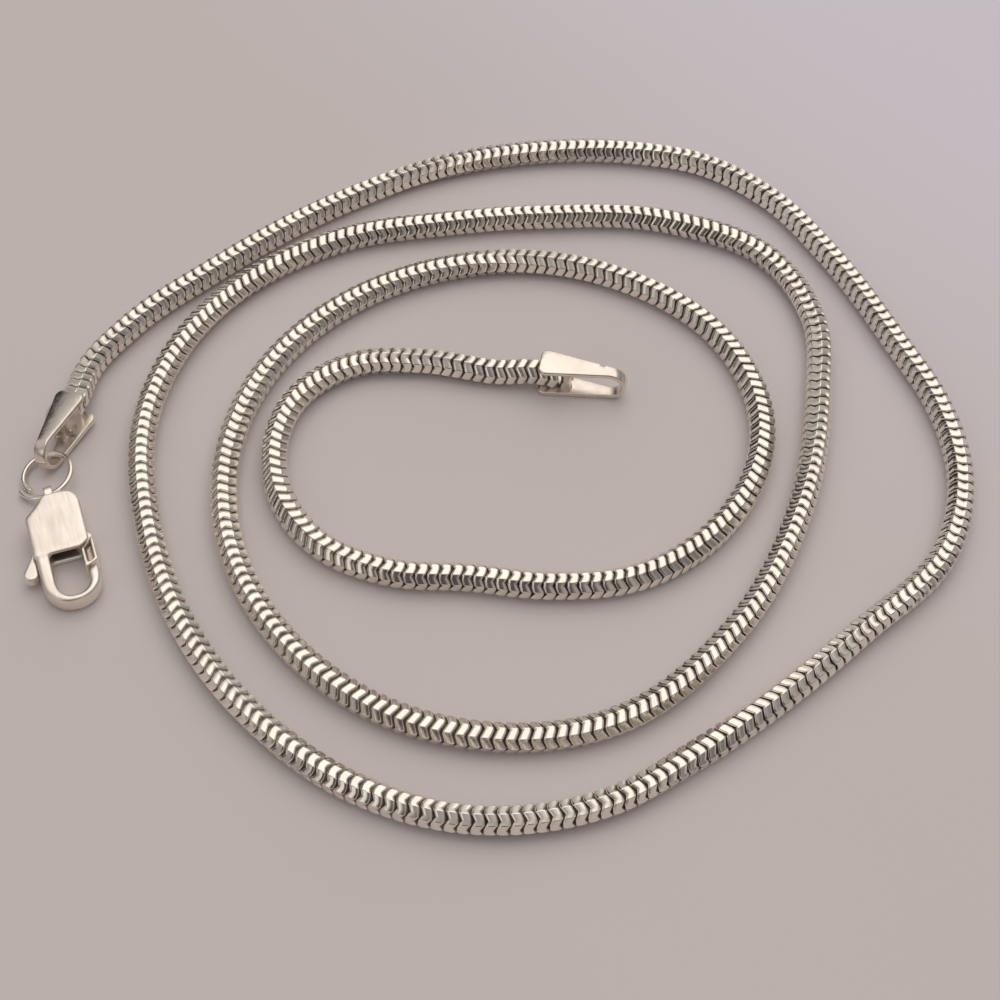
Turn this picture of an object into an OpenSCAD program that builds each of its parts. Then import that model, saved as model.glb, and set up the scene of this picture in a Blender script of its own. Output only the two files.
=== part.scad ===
// Snake chain necklace with folded end tabs, a jump ring and a lobster clasp, lying in a spiral.
// Millimetres, +Z up. The floor is z = 0 and the origin is under the middle of the whole piece.

/* [Chain] */
// Width of the chain across two opposite facets
chain_flat = 2.0; // [1.6:0.1:2.2]
// Farthest that a straight stretch of the tube may lie from the chain's curve
tube_sag = 0.4; // [0.35:0.05:0.6]

/* [End tabs] */
// Thickness of the folded strip
tab_thick = 0.4; // [0.3:0.05:0.5]
// Width of the strip at its free ends
tab_wide = 2.4; // [1.8:0.1:2.6]
// Width of the strip at its fold
tab_narrow = 1.0; // [0.8:0.1:1.2]
// Length of the straight legs
tab_leg = 5.6; // [5.2:0.1:6.2]
// Length of the clasp tab's legs, from the free ends to the fold
clasp_tab_leg = 4.75; // [4.6:0.05:5]
// Radius of the corners at the free ends
tab_corner = 0.6; // [0.3:0.05:0.8]
// Length of chain held between the legs
tab_hold = 2.5; // [2:0.1:3]
// Gap between the chain and each leg
tab_gap = 0.03; // [0.02:0.01:0.06]
// Radius of the nick in the edge of the hook tab
nick_r = 0.2; // [0.1:0.05:0.3]
// Place of the nick, measured back from the fold
nick_back = 0.7; // [0.4:0.1:1]

/* [Jump ring] */
// Thickness of the ring's wire
ring_wire = 0.45; // [0.35:0.05:0.5]
// Inner diameter of the ring
ring_inner = 3.5; // [3.3:0.1:3.8]
// Gap between the two cut ends, which lie side by side
ring_split = 0.05; // [0.03:0.01:0.1]
// Angle by which the cut ends pass each other
ring_overlap = 20; // [10:1:30]
// Clearance between the wire and the leg that it rests on
ring_rest = 0.08; // [0.08:0.01:0.15]

/* [Clasp body] */
// Width of the body
body_wide = 4.2; // [4:0.1:4.4]
// Length of the body, from its eye end to the mouth
body_long = 5.4; // [5.2:0.1:5.8]
// Thickness of the body
body_thick = 1.8; // [1.7:0.1:2.2]
// Thickness of the front and back plates
plate_thick = 0.4; // [0.35:0.05:0.45]
// Width of the walls that join the plates
wall_wide = 0.5; // [0.4:0.05:0.6]
// Size of the slanting corner above the thumb nub
corner_cut = 1.7; // [1.2:0.1:1.8]
// Radius of the round corner above the lever's arm
corner_round = 1.2; // [0.8:0.1:1.4]
// Radius of the plates' free corner, which is round about the pin
corner_swing = 2.8; // [2.7:0.05:2.9]
// Distance from the middle of the eye to the body's end
eye_reach = 0.45; // [0.4:0.05:0.6]
// Width of the metal round the eye's hole
eye_rim = 0.35; // [0.25:0.05:0.4]
// Clearance of the ring's wire in the eye's hole
eye_clear = 0.35; // [0.3:0.05:0.5]
// Thickness of the eye across the clasp
eye_thick = 0.7; // [0.5:0.1:0.8]

/* [Clasp hook] */
// Outer radius of the hook's bend
hook_outer = 2.1; // [2:0.05:2.3]
// Inner radius of the hook's bend
hook_inner = 1.2; // [1.1:0.05:1.3]
// Distance from the mouth edge of the body to the middle of the bend
hook_drop = 2.25; // [2.1:0.05:2.4]
// How far the middle of the bend lies to the arm's side
hook_shift = 0.15; // [0.1:0.05:0.2]
// How far the inner round lies below the middle of the bend
hook_lower = 0.35; // [0.3:0.05:0.45]
// Thickness of the hook and of the arm
hook_thick = 1.5; // [1.3:0.1:1.6]

/* [Clasp lever] */
// Radius of the pivot pin
pin_r = 0.35; // [0.25:0.05:0.4]
// Metal left over the blind end of the pin
pin_cover = 0.2; // [0.15:0.05:0.25]
// Radius of the lever's hub round the pin
hub_r = 0.9; // [0.7:0.05:0.95]
// Distance from the pin to the mouth edge of the body
pin_up = 2.5; // [2.4:0.05:2.6]
// Running clearance round the pin and beside the lever
run_gap = 0.05; // [0.03:0.01:0.08]
// How far the arm stands out past the body's side
arm_proud = 0.25; // [0.2:0.05:0.35]
// Width of the lever's arm
arm_wide = 1.05; // [0.9:0.05:1.1]
// Distance from the pin to the arm's tip
arm_reach = 4.45; // [4.3:0.05:4.6]
// Wall left round the hollow of the arm
arm_wall = 0.28; // [0.2:0.02:0.35]
// Gap between the arm's tip and the hook's tip
mouth_gap = 0.2; // [0.12:0.02:0.3]
// Radius of the thumb nub's round end
nub_r = 0.55; // [0.45:0.05:0.65]
// How far the middle of the nub lies past the mouth edge of the body
nub_drop = 1.0; // [0.9:0.05:1.1]

/* [Lie] */
// Direction of the clasp tab, from its mouth to its fold
clasp_tab_yaw = -106; // [-108:1:-103]
// Roll of the clasp tab about its own length
clasp_tab_roll = 12; // [10:1:15]
// Dip of the clasp tab towards its fold
clasp_tab_dip = 1.8; // [1:0.2:2.4]
// How far the clasp tab's middle lies to the right of the chain's middle
clasp_tab_aside = 0.43; // [0.35:0.01:0.45]
// Direction of the hook tab, from its mouth to its fold
hook_tab_yaw = -7; // [-10:1:-4]
// Direction from the fold of the clasp tab to the middle of the ring
ring_yaw = -94; // [-97:1:-91]
// How far the wire lies inside the fold's middle
ring_bite = 0.25; // [0.15:0.05:0.35]
// Tilt of the ring, its right side up
ring_tilt = 12.5; // [10:0.5:14]
// Direction of the ring's cut, seen from its middle
ring_cut_yaw = 230; // [220:1:240]
// Direction of the clasp, from its eye to its hook
clasp_yaw = -68; // [-72:1:-64]

/* [Hidden] */
silver = [0.86, 0.85, 0.83];
bright_silver = [0.93, 0.91, 0.88];
lever_silver = [0.78, 0.77, 0.75];

// Route of the chain's middle, from the mouth of the clasp tab to the mouth of the hook tab
route = [
    [-33.4, 0.4], [-33.1, 3.8], [-30.4, 9.1], [-25, 15.2], [-16.2, 23.3],
    [-6.4, 29.3], [1.4, 31.7], [9.6, 32.4], [16.2, 31.3], [22.2, 27.3],
    [26.4, 21.7], [31.6, 11.8], [34.2, 6], [35.3, -1.2], [33.8, -7.8],
    [26.2, -16.3], [14.2, -26.8], [8.6, -30.5], [-0.4, -32.4], [-9, -30.4],
    [-16.6, -25.2], [-26, -10], [-27.7, -0.3], [-25.3, 9.2], [-14, 20],
    [-6.2, 22.3], [1.7, 23.8], [13.7, 24], [21, 20.9], [24.8, 14],
    [24.8, 6], [22.6, -5.7], [17.4, -16.4], [8.6, -24.5], [-3.1, -25.8],
    [-17.4, -16], [-20.3, 1.4], [-9.7, 15.3], [7.7, 17.6], [17.4, 11],
    [20.1, 3.6], [16.5, -7.6], [10.2, -12.4], [4.3, -13.5], [-2, -13.2],
    [-8, -13.1], [-13.2, -11], [-17.3, -4.2], [-15.8, 3.3], [-12.5, 6.1],
    [-7, 7], [-1, 6.4], [2.5, 6.3]
];

// Eight-sided section, with a corner down in the free stretch, so that its corners set its height
sides = 8;
half_facet = 180 / sides;
chain_corner_r = chain_flat / 2 / cos(half_facet);
chain_z = chain_corner_r;

// Each tab holds the chain midway between its legs and lies on its lower leg, the rolled and dipped
// one on the corner of its free end or on the edge of its fold
tab_inner = chain_flat / 2 + tab_gap;
tab_outer = tab_inner + tab_thick;
hook_tab_z = tab_outer;
corner_z = tab_wide / 2 * sin(clasp_tab_roll) + tab_corner * sin(clasp_tab_dip);
fold_z = tab_narrow / 2 * sin(clasp_tab_roll) + clasp_tab_leg * sin(clasp_tab_dip);
clasp_tab_z = tab_outer * cos(clasp_tab_roll) + max(corner_z, fold_z);

function heading(yaw) = [cos(yaw), sin(yaw)];
function at_height(p, z) = [p[0], p[1], z];
function unit(v) = v / norm(v);

// The mouth of the clasp tab is beside the chain's middle, and its roll sets the chain's height there
clasp_tab_at = route[0] + clasp_tab_aside * heading(clasp_tab_yaw + 90);
clasp_end_z = clasp_tab_z - clasp_tab_aside * tan(clasp_tab_roll);

// Path in plan: the route, with the straight ends between the legs of the tabs
last = len(route) - 1;
path = concat(
    [route[0] + tab_hold * heading(clasp_tab_yaw)],
    route,
    [route[last] + tab_hold * heading(hook_tab_yaw)]
);
spans = len(path) - 1;

// Smooth curve: at each point it has the tangent of the circle through that point and its neighbours
function span_len(i) = norm(path[i + 1] - path[i]);
function span_way(i) = (path[i + 1] - path[i]) / span_len(i);
function way_at(i) =
    i <= 1 ? span_way(0) :
    i >= spans - 1 ? span_way(spans - 1) :
    unit(span_way(i - 1) * span_len(i) + span_way(i) * span_len(i - 1));
// Pull at an end of a span, such that a span with a steady turn becomes a circular arc
function pull(i, end) = 2 * span_len(i) / (1 + way_at(end) * span_way(i)) * way_at(end);
function ease(f) = f * f * (3 - 2 * f);
function curve_point(i, f) =
    path[i] * (1 - ease(f)) + path[i + 1] * ease(f)
    + pull(i, i) * f * pow(1 - f, 2) - pull(i, i + 1) * f * f * (1 - f);

// The chain comes down from each tab to the floor within one span
function height(t) =
    t < 1 ? clasp_end_z - (1 - t) * tab_hold * sin(clasp_tab_dip) :
    t < 2 ? chain_z + (clasp_end_z - chain_z) * (1 - ease(max(t - 1, 0))) :
    t > spans - 2 ? chain_z + (hook_tab_z - chain_z) * ease(min(t - spans + 2, 1)) : chain_z;
function at(t) = let (i = min(floor(t), spans - 1)) at_height(curve_point(i, t - i), height(t));
step = 0.01;
function tangent(t) = unit(at(min(t + step, spans)) - at(max(t - step, 0)));

// The facets lie flat against the legs inside the tabs, and a corner is down elsewhere
function turn(t) =
    t <= 1 ? half_facet - clasp_tab_roll :
    t >= spans - 1 ? half_facet : 0;

// The more a span turns, the more rings it has
function turned(i) = acos(min(way_at(i) * way_at(i + 1), 1)) * PI / 180;
function stretches(i) = max(1, ceil(sqrt(span_len(i) * turned(i) / (8 * tube_sag))));
ring_times = [
    0,
    for (i = [1 : spans - 2]) let (n = stretches(i)) for (m = [0 : n - 1]) i + m / n,
    spans - 1,
    spans
];
final_ring = len(ring_times) - 1;
meet_ring = floor(final_ring / 2);
function tube_ring(k) =
    let (t = ring_times[k], way = tangent(t), side = unit(cross([0, 0, 1], way)), up = cross(way, side))
    [for (j = [0 : sides - 1])
        let (a = 2 * j * half_facet + turn(t))
        at(t) + chain_corner_r * (cos(a) * side + sin(a) * up)];

// Tube through the rings from first to final, closed by a flat face at each end
module tube(first, final) {
    count = final - first;
    points = [for (k = [first : final]) each tube_ring(k)];
    walls = [for (k = [0 : count - 1], j = [0 : sides - 1])
        let (n = (j + 1) % sides, a = k * sides, b = (k + 1) * sides)
        each [[a + j, b + j, b + n], [a + j, b + n, a + n]]];
    caps = [[for (j = [0 : sides - 1]) j], [for (j = [sides - 1 : -1 : 0]) count * sides + j]];
    polyhedron(points = points, faces = concat(walls, caps), convexity = 12);
}

module chain_outer() {
    color(silver) tube(0, meet_ring);
}

module chain_inner() {
    color(silver) tube(meet_ring, final_ring);
}

// Plan of a strip: round corners at the free ends, tapering to the fold
module strip_plan(leg) {
    shoulder = tab_wide / 2 - tab_corner;
    for (s = [-1, 1]) translate([tab_corner, s * shoulder]) circle(r = tab_corner, $fn = 48);
    translate([0, -shoulder]) square([tab_corner, 2 * shoulder]);
    polygon([[tab_corner, -tab_wide / 2], [leg, -tab_narrow / 2], [leg + tab_outer, -tab_narrow / 2],
             [leg + tab_outer, tab_narrow / 2], [leg, tab_narrow / 2], [tab_corner, tab_wide / 2]]);
}

// Body with the outside or the inside of a folded strip, straight along the legs and round in the fold
module fold_form(leg, r, wide) {
    translate([0, wide / 2, 0]) rotate([90, 0, 0]) linear_extrude(wide) {
        translate([-tab_corner, -r]) square([leg + tab_corner, 2 * r]);
        translate([leg, 0]) circle(r = r, $fn = 64);
    }
}

// A folded strip with its mouth at the origin, its fold towards +X and its legs above and below
module folded_tab(leg) {
    difference() {
        intersection() {
            translate([0, 0, -2 * tab_outer]) linear_extrude(4 * tab_outer) strip_plan(leg);
            fold_form(leg, tab_outer, 2 * tab_wide);
        }
        fold_form(leg, tab_inner, 3 * tab_wide);
    }
}

module clasp_tab() {
    color(bright_silver)
    translate(at_height(clasp_tab_at, clasp_tab_z))
        rotate([clasp_tab_roll, clasp_tab_dip, clasp_tab_yaw]) folded_tab(clasp_tab_leg);
}

module hook_tab() {
    taper = (tab_wide - tab_narrow) / 2 / (tab_leg - tab_corner);
    nick_y = tab_narrow / 2 + taper * nick_back;
    color(bright_silver)
    translate(at_height(route[last], hook_tab_z)) rotate([0, 0, hook_tab_yaw])
        difference() {
            folded_tab(tab_leg);
            translate([tab_leg - nick_back, nick_y, tab_inner / 2])
                cylinder(r = nick_r, h = tab_outer, $fn = 32);
        }
}

// The ring is bent in two half rounds that meet opposite its cut, so that the cut ends pass each other
ring_r = (ring_inner + ring_wire) / 2;
ring_shift = (ring_wire + ring_split) / 4;
bend_yaw = ring_cut_yaw - 180;
// Middle of the wire in a direction, seen from the ring's middle, on the wide half or the narrow one
function wire_at(yaw, s) =
    let (q = -s * ring_shift * heading(bend_yaw) + (ring_r + s * ring_shift) * heading(yaw))
    [q[0] * cos(ring_tilt), q[1], q[0] * sin(ring_tilt)];

// The ring lies on the floor or, where it crosses the middle of the tab, on the lower leg,
// whichever holds it higher
fold_at = clasp_tab_at + clasp_tab_leg * heading(clasp_tab_yaw);
ring_at = fold_at + (ring_r - ring_bite) * heading(ring_yaw);
aside = asin((1 - ring_bite / ring_r) * sin(ring_yaw - clasp_tab_yaw));
held_wire = wire_at(clasp_tab_yaw + 180 + aside, -1);
held_z = clasp_tab_z - (clasp_tab_leg - ring_bite) * sin(clasp_tab_dip);
leg_space = tab_inner - ring_wire / 2 - ring_rest;
ring_on_leg_z = held_z - leg_space / cos(clasp_tab_roll) - held_wire[2];
ring_on_floor_z = ring_wire / 2 + ring_r * sin(ring_tilt);
ring_z = max(ring_on_floor_z, ring_on_leg_z);

// Half of the ring from opposite the cut to a little past it: 1 is the wide half, -1 the narrow one
module half_ring(s) {
    arc = 180 + ring_overlap / 2;
    translate([-s * ring_shift, 0, 0]) rotate([0, 0, s > 0 ? -arc : 0])
        rotate_extrude(angle = arc, $fn = 96)
            translate([ring_r + s * ring_shift, 0]) circle(d = ring_wire, $fn = 32);
}

module jump_ring() {
    color(bright_silver)
    translate(at_height(ring_at, ring_z)) rotate([0, -ring_tilt, 0]) rotate([0, 0, bend_yaw]) {
        half_ring(1);
        half_ring(-1);
    }
}

// Clasp frame: the origin is on the floor under the middle of the eye, the hook lies towards +X
// and the lever's arm is on the +Y side
eye_wire = wire_at(clasp_yaw, 1);
eye_at = ring_at + [eye_wire[0], eye_wire[1]];
eye_z = ring_z + eye_wire[2];
eye_hole_r = (ring_wire + eye_clear) / 2;
eye_r = eye_hole_r + eye_rim;
half_wide = body_wide / 2;
body_end = eye_reach + body_long;
mid_z = body_thick / 2;
slot_thick = body_thick - 2 * plate_thick;
pin_at = [body_end - pin_up, 0];
hook_mid = [body_end + hook_drop, hook_shift];
hole_mid = hook_mid + [hook_lower, hook_shift * 2 / 3];
shank_out = hook_shift - hook_outer;
shank_in = hole_mid[1] - hook_inner;
tip_in = hole_mid[1] + hook_inner;
arm_out = half_wide + arm_proud;
arm_in = arm_out - arm_wide;
far = 3 * body_wide;

module clasp_place() {
    color(bright_silver) translate(at_height(eye_at, 0)) rotate([0, 0, clasp_yaw]) children();
}

// A layer of the clasp, centred in its thickness
module layer(thick) {
    translate([0, 0, mid_z - thick / 2]) linear_extrude(thick) children();
}

module round_pin(r, fn = 96) {
    translate(pin_at) circle(r = r, $fn = fn);
}

// Outline of the plates: a slanting corner, a round one, and a free corner that is round about the pin
module plate_outline() {
    difference() {
        translate([eye_reach, -half_wide]) square([body_long, body_wide]);
        polygon([[eye_reach - 1, -half_wide - 1], [eye_reach + corner_cut + 1, -half_wide - 1],
                 [eye_reach - 1, -half_wide + corner_cut + 1]]);
        translate([eye_reach, half_wide - corner_round]) square(corner_round);
        difference() {
            translate(pin_at) square(far);
            round_pin(corner_swing);
        }
    }
    translate([eye_reach + corner_round, half_wide - corner_round]) circle(r = corner_round, $fn = 64);
}

// Space between the plates: open at the mouth, and at both sides where the lever comes out
module slot_outline() {
    inside = half_wide - wall_wide;
    start = pin_at[0] - hub_r - 3 * run_gap;
    translate([start, -inside]) square([far, 2 * inside]);
    translate([pin_at[0] - hub_r / 4, -far]) square([far, far]);
    translate([pin_at[0] + hub_r / 2, 0]) square([far, far]);
}

// The shank goes down one side of the opening and bends round to the tip
module hook_outline() {
    root = body_end - wall_wide;
    difference() {
        union() {
            translate(hook_mid) circle(r = hook_outer, $fn = 128);
            translate([root, shank_out]) square([hook_mid[0] - root, shank_in - shank_out]);
        }
        translate(hole_mid) circle(r = hook_inner, $fn = 96);
        translate([body_end, shank_in]) square([hole_mid[0] - body_end, tip_in - shank_in]);
        difference() {
            round_pin(arm_reach + mouth_gap);
            translate([0, shank_in - far]) square([far, far]);
        }
    }
}

// The eye stands upright, so that the flat-lying ring passes through it from side to side
module eye_lug() {
    translate([0, eye_thick / 2, eye_z]) rotate([90, 0, 0]) cylinder(r = eye_r, h = eye_thick, $fn = 64);
    translate([0, -eye_thick / 2, mid_z - slot_thick / 2])
        cube([eye_reach + wall_wide, eye_thick, slot_thick]);
}

module clasp_body() {
    clasp_place() difference() {
        union() {
            difference() {
                layer(body_thick) plate_outline();
                layer(slot_thick) slot_outline();
            }
            layer(hook_thick) hook_outline();
            eye_lug();
        }
        translate([0, half_wide, eye_z]) rotate([90, 0, 0]) cylinder(r = eye_hole_r, h = body_wide, $fn = 48);
        translate(at_height(pin_at, -mid_z))
            cylinder(r = pin_r + run_gap / 2, h = mid_z + body_thick - pin_cover + run_gap / 2, $fn = 48);
    }
}

module clasp_pivot() {
    clasp_place() translate(at_height(pin_at, run_gap / 2))
        cylinder(r = pin_r, h = body_thick - pin_cover - run_gap / 2, $fn = 48);
}

// Flat web of the lever, between the plates: the hub, the root of the arm and the root of the nub
nub_at = [body_end + nub_drop, shank_out - run_gap - nub_r];
exit_x = body_end - wall_wide - 2 * run_gap;
module web_outline() {
    round_pin(hub_r);
    intersection() {
        round_pin(arm_reach);
        polygon([pin_at - [0, hub_r / 2], pin_at + [0, hub_r],
                 [pin_at[0] + pin_up / 2, arm_out], [body_end + pin_up, arm_out],
                 [body_end + pin_up, arm_in], [body_end, arm_in]]);
    }
    polygon([pin_at + [hub_r / 2, -hub_r / 2], [exit_x, (shank_in + shank_out) / 2],
             [exit_x, shank_out - run_gap], nub_at + [0, nub_r], nub_at - nub_r * [sin(30), cos(30)],
             pin_at - hub_r * [sin(30), cos(30)]]);
    translate(nub_at) circle(r = nub_r, $fn = 64);
}

// Full outline of the arm outside the body, round about the pin at both ends
module arm_outline(wall) {
    difference() {
        intersection() {
            round_pin(arm_reach - wall);
            translate([pin_at[0], arm_in + wall]) square([far, arm_wide - 2 * wall]);
        }
        round_pin(corner_swing + run_gap);
    }
}

module clasp_lever() {
    color(lever_silver) clasp_place() difference() {
        union() {
            layer(slot_thick - 2 * run_gap) web_outline();
            layer(hook_thick) arm_outline(0);
        }
        translate([0, 0, mid_z]) linear_extrude(body_thick) arm_outline(arm_wall);
        translate(at_height(pin_at, -mid_z)) cylinder(r = pin_r + run_gap, h = 2 * body_thick, $fn = 48);
    }
}

chain_outer();
chain_inner();
clasp_tab();
hook_tab();
jump_ring();
clasp_body();
clasp_pivot();
clasp_lever();
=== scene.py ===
# %% [markdown]
# # A snake chain necklace of sterling silver
# The necklace lies in a loose spiral. Its chain is a row of about six hundred thin, wavy rings that
# nest into each other, and their outside is cut into eight flat facets. A folded strip holds each
# end. One of them carries a jump ring and a lobster clasp, and the other is the loop that the clasp
# hooks into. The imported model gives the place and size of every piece. This script gives each piece
# the surface that the eye sees.

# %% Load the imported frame
import math

import bpy
import numpy as np
from mathutils import Euler, Matrix, Vector


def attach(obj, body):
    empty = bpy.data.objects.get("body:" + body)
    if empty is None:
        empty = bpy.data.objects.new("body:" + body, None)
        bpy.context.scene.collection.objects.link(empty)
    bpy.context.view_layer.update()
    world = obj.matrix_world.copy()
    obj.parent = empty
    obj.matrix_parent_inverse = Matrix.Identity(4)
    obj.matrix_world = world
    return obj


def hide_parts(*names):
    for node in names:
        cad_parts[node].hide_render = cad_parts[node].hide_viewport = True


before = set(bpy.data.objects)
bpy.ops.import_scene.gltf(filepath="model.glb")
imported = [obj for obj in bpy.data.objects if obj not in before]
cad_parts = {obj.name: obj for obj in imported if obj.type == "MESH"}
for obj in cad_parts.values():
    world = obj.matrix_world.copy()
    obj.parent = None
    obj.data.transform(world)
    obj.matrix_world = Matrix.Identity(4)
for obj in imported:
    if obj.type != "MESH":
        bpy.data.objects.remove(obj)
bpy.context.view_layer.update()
MM = 0.001

# %% [markdown]
# ## Helpers
# Colours are written as sRGB hex codes, as a paint chart or a photo editor gives them. Blender's
# shaders work with linear light, so one function turns the codes. Another adds a shader node, a
# third gives the direction of a point in the room from the necklace, and the last puts something
# into the scene.

# %% Colour, node, direction and object helpers
def linear(hex_code):
    """The linear colour, with alpha, of an sRGB hex code."""
    parts = [int(hex_code[i:i + 2], 16) / 255 for i in (1, 3, 5)]
    return [p / 12.92 if p <= 0.04045 else ((p + 0.055) / 1.055) ** 2.4 for p in parts] + [1.0]


def add_node(tree, kind, settings=None, links=None):
    """Adds a node. A setting is a property or an unlinked socket, and a link feeds a socket."""
    node = tree.nodes.new(kind)
    for name, value in (settings or {}).items():
        if isinstance(name, str) and hasattr(node, name):
            setattr(node, name, value)
        else:
            node.inputs[name].default_value = value
    for name, output in (links or {}).items():
        tree.links.new(output, node.inputs[name])
    return node


def direction(azimuth, elevation):
    """A unit vector. Azimuth 0 is behind the necklace and 90 is to its right, in degrees."""
    turn, rise = math.radians(azimuth), math.radians(elevation)
    return Vector((math.sin(turn) * math.cos(rise), math.cos(turn) * math.cos(rise), math.sin(rise)))


def put_in_scene(name, data):
    """A new object in the scene that shows a mesh, a camera or a light."""
    made = bpy.data.objects.new(name, data)
    bpy.context.scene.collection.objects.link(made)
    return made


print("straight up is", direction(0, 90))

# %% [markdown]
# ## Camera
# The camera stands in front of the necklace and above it, and looks down at about 54 degrees. A
# long lens keeps the spiral's far side nearly as large as its near side.

# %% Camera
CAMERA_AT = Vector((0.0, -0.0821, 0.10746))
LOOK_DOWN = math.radians(54.475)
ROLL = math.radians(3.357)
FOCAL_PIXELS = 1733.0
IMAGE_PIXELS = 1000.0
SENSOR_MM = 36.0
NEAREST_SEEN = 0.005

camera_data = bpy.data.cameras.new("photo_camera")
camera_data.sensor_width = SENSOR_MM
camera_data.lens = FOCAL_PIXELS / IMAGE_PIXELS * SENSOR_MM
camera_data.clip_start = NEAREST_SEEN
camera = put_in_scene("photo_camera", camera_data)
level_right = Vector((1, 0, 0))
level_up = Vector((0, math.sin(LOOK_DOWN), math.cos(LOOK_DOWN)))
forward = Vector((0, math.cos(LOOK_DOWN), -math.sin(LOOK_DOWN)))
right = level_right * math.cos(ROLL) + level_up * math.sin(ROLL)
up = level_up * math.cos(ROLL) - level_right * math.sin(ROLL)
turned = Matrix((right, up, -forward)).transposed()
camera.matrix_world = Matrix.Translation(CAMERA_AT) @ turned.to_4x4()
bpy.context.scene.camera = camera
print("lens in mm:", round(camera_data.lens, 1))

# %% [markdown]
# ## Floor
# The necklace lies on a plain, smooth sheet of pale, warm grey, and painted light makes it lighter
# and lilac at the far right.
# Very broad and very faint clouds in its tone keep it from looking like a computer's flat grey.

# %% Floor
FLOOR_REACH = 0.9
CLOUDS_PER_METRE = 14.0
# The painted lilac light grows between these two distances, each the sum of the ways to the right and
# back
PAINTED_LIGHT_FROM, PAINTED_LIGHT_TO = 0.01, 0.09

floor_mesh = bpy.data.meshes.new("floor")
floor_mesh.from_pydata(
    [(x * FLOOR_REACH, y * FLOOR_REACH, 0) for x, y in ((-1, -1), (1, -1), (1, 1), (-1, 1))],
    [],
    [(0, 1, 2, 3)],
)
floor = put_in_scene("floor", floor_mesh)

paper = bpy.data.materials.new("matte grey paper")
paper.use_nodes = True
paper.node_tree.nodes.clear()
coordinates = add_node(paper.node_tree, "ShaderNodeTexCoord")
cloudy = add_node(
    paper.node_tree,
    "ShaderNodeTexNoise",
    {"Scale": CLOUDS_PER_METRE, "Detail": 3.0, "Roughness": 0.5},
    {"Vector": coordinates.outputs["Object"]},
)
paper_tone = add_node(
    paper.node_tree,
    "ShaderNodeMix",
    {"data_type": "RGBA", 6: linear("#E5DEDE"), 7: linear("#EBE4E5")},
    {"Factor": cloudy.outputs["Fac"]},
)
far_right = add_node(
    paper.node_tree,
    "ShaderNodeVectorMath",
    {"operation": "DOT_PRODUCT", 1: (1, 1, 0)},
    {0: coordinates.outputs["Object"]},
)
lilac_light_share = add_node(
    paper.node_tree,
    "ShaderNodeMapRange",
    {"interpolation_type": "SMOOTHSTEP", "From Min": PAINTED_LIGHT_FROM, "From Max": PAINTED_LIGHT_TO},
    {"Value": far_right.outputs["Value"]},
)
# Painted light: the floor's tone is mixed to a lighter lilac towards the far right
painted_lilac_light = add_node(
    paper.node_tree,
    "ShaderNodeMix",
    {"data_type": "RGBA", 7: linear("#F3EFFC")},
    {"Factor": lilac_light_share.outputs["Result"], 6: paper_tone.outputs[2]},
)
paper_shader = add_node(
    paper.node_tree,
    "ShaderNodeBsdfPrincipled",
    {"Roughness": 0.65, "Specular IOR Level": 0.2},
    {"Base Color": painted_lilac_light.outputs[2]},
)
add_node(
    paper.node_tree,
    "ShaderNodeOutputMaterial",
    {},
    {"Surface": paper_shader.outputs["BSDF"]},
)
floor_mesh.materials.append(paper)
print("floor:", 2 * FLOOR_REACH, "m square")

# %% [markdown]
# ## Light
# Silver shows its surroundings, so the room matters as much as the metal. One wide, soft window
# light stands high behind the necklace, and the wall below it glows. The rest of the room is grey.
# It has a dark corner on the left, a darker place in front, where the person with the camera
# stands, and a smaller one on the right. They give the facets that look away from the window their
# dark tones. A small pale patch in front on the left lights the fold of the clasp's tab.

# %% Room
ROOM = "#8F8A89"
# Azimuth, elevation, half width of the patch and of its soft edge, all in degrees, and its tone.
# A patch covers those above it in the list
ROOM_PATCHES = [
    (0, 90, 62, 12, "#A19D9B"),
    (0, 22, 38, 18, "#A9A5A2"),
    (-80, 42, 20, 10, "#BDB8B4"),
    (10, 22, 14, 10, "#DAD6D1"),
    (-48, 14, 16, 5, "#1F1C1A"),
    (-88, 9, 15, 5, "#2A2725"),
    (-172, 20, 26, 12, "#4C4745"),
    (115, 18, 16, 10, "#75706E"),
    (18, 70, 39, 8, "#C8C3BE"),
    (-137, 30, 13, 6, "#EDE8E1"),
]

world = bpy.data.worlds.new("room")
bpy.context.scene.world = world
world.use_nodes = True
room_tree = world.node_tree
room_tree.nodes.clear()
look = add_node(room_tree, "ShaderNodeTexCoord")
room_tone = None
for azimuth, elevation, reach, soft, tone in ROOM_PATCHES:
    nearness = add_node(
        room_tree,
        "ShaderNodeVectorMath",
        {"operation": "DOT_PRODUCT", 1: direction(azimuth, elevation)},
        {0: look.outputs["Generated"]},
    )
    share = add_node(
        room_tree,
        "ShaderNodeMapRange",
        {
            "interpolation_type": "SMOOTHSTEP",
            "From Min": math.cos(math.radians(reach + soft)),
            "From Max": math.cos(math.radians(reach - soft)),
        },
        {"Value": nearness.outputs["Value"]},
    )
    blend = add_node(
        room_tree,
        "ShaderNodeMix",
        {"data_type": "RGBA", 6: linear(ROOM), 7: linear(tone)},
        {"Factor": share.outputs["Result"]},
    )
    if room_tone:
        room_tree.links.new(room_tone.outputs[2], blend.inputs[6])
    room_tone = blend
room_light = add_node(
    room_tree,
    "ShaderNodeBackground",
    {"Strength": 1.0},
    {"Color": room_tone.outputs[2]},
)
add_node(room_tree, "ShaderNodeOutputWorld", {}, {"Surface": room_light.outputs["Background"]})


# %% Window
def soft_light(name, azimuth, elevation, distance, size, watts, tint):
    """A round soft light that shines at the necklace from a direction."""
    data = bpy.data.lights.new(name, "AREA")
    data.shape = "DISK"
    data.size = size
    data.energy = watts
    data.color = linear(tint)[:3]
    lamp = put_in_scene(name, data)
    way = direction(azimuth, elevation)
    lamp.matrix_world = (
        Matrix.Translation(way * distance) @ way.to_track_quat("Z", "Y").to_matrix().to_4x4()
    )
    return lamp


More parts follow.
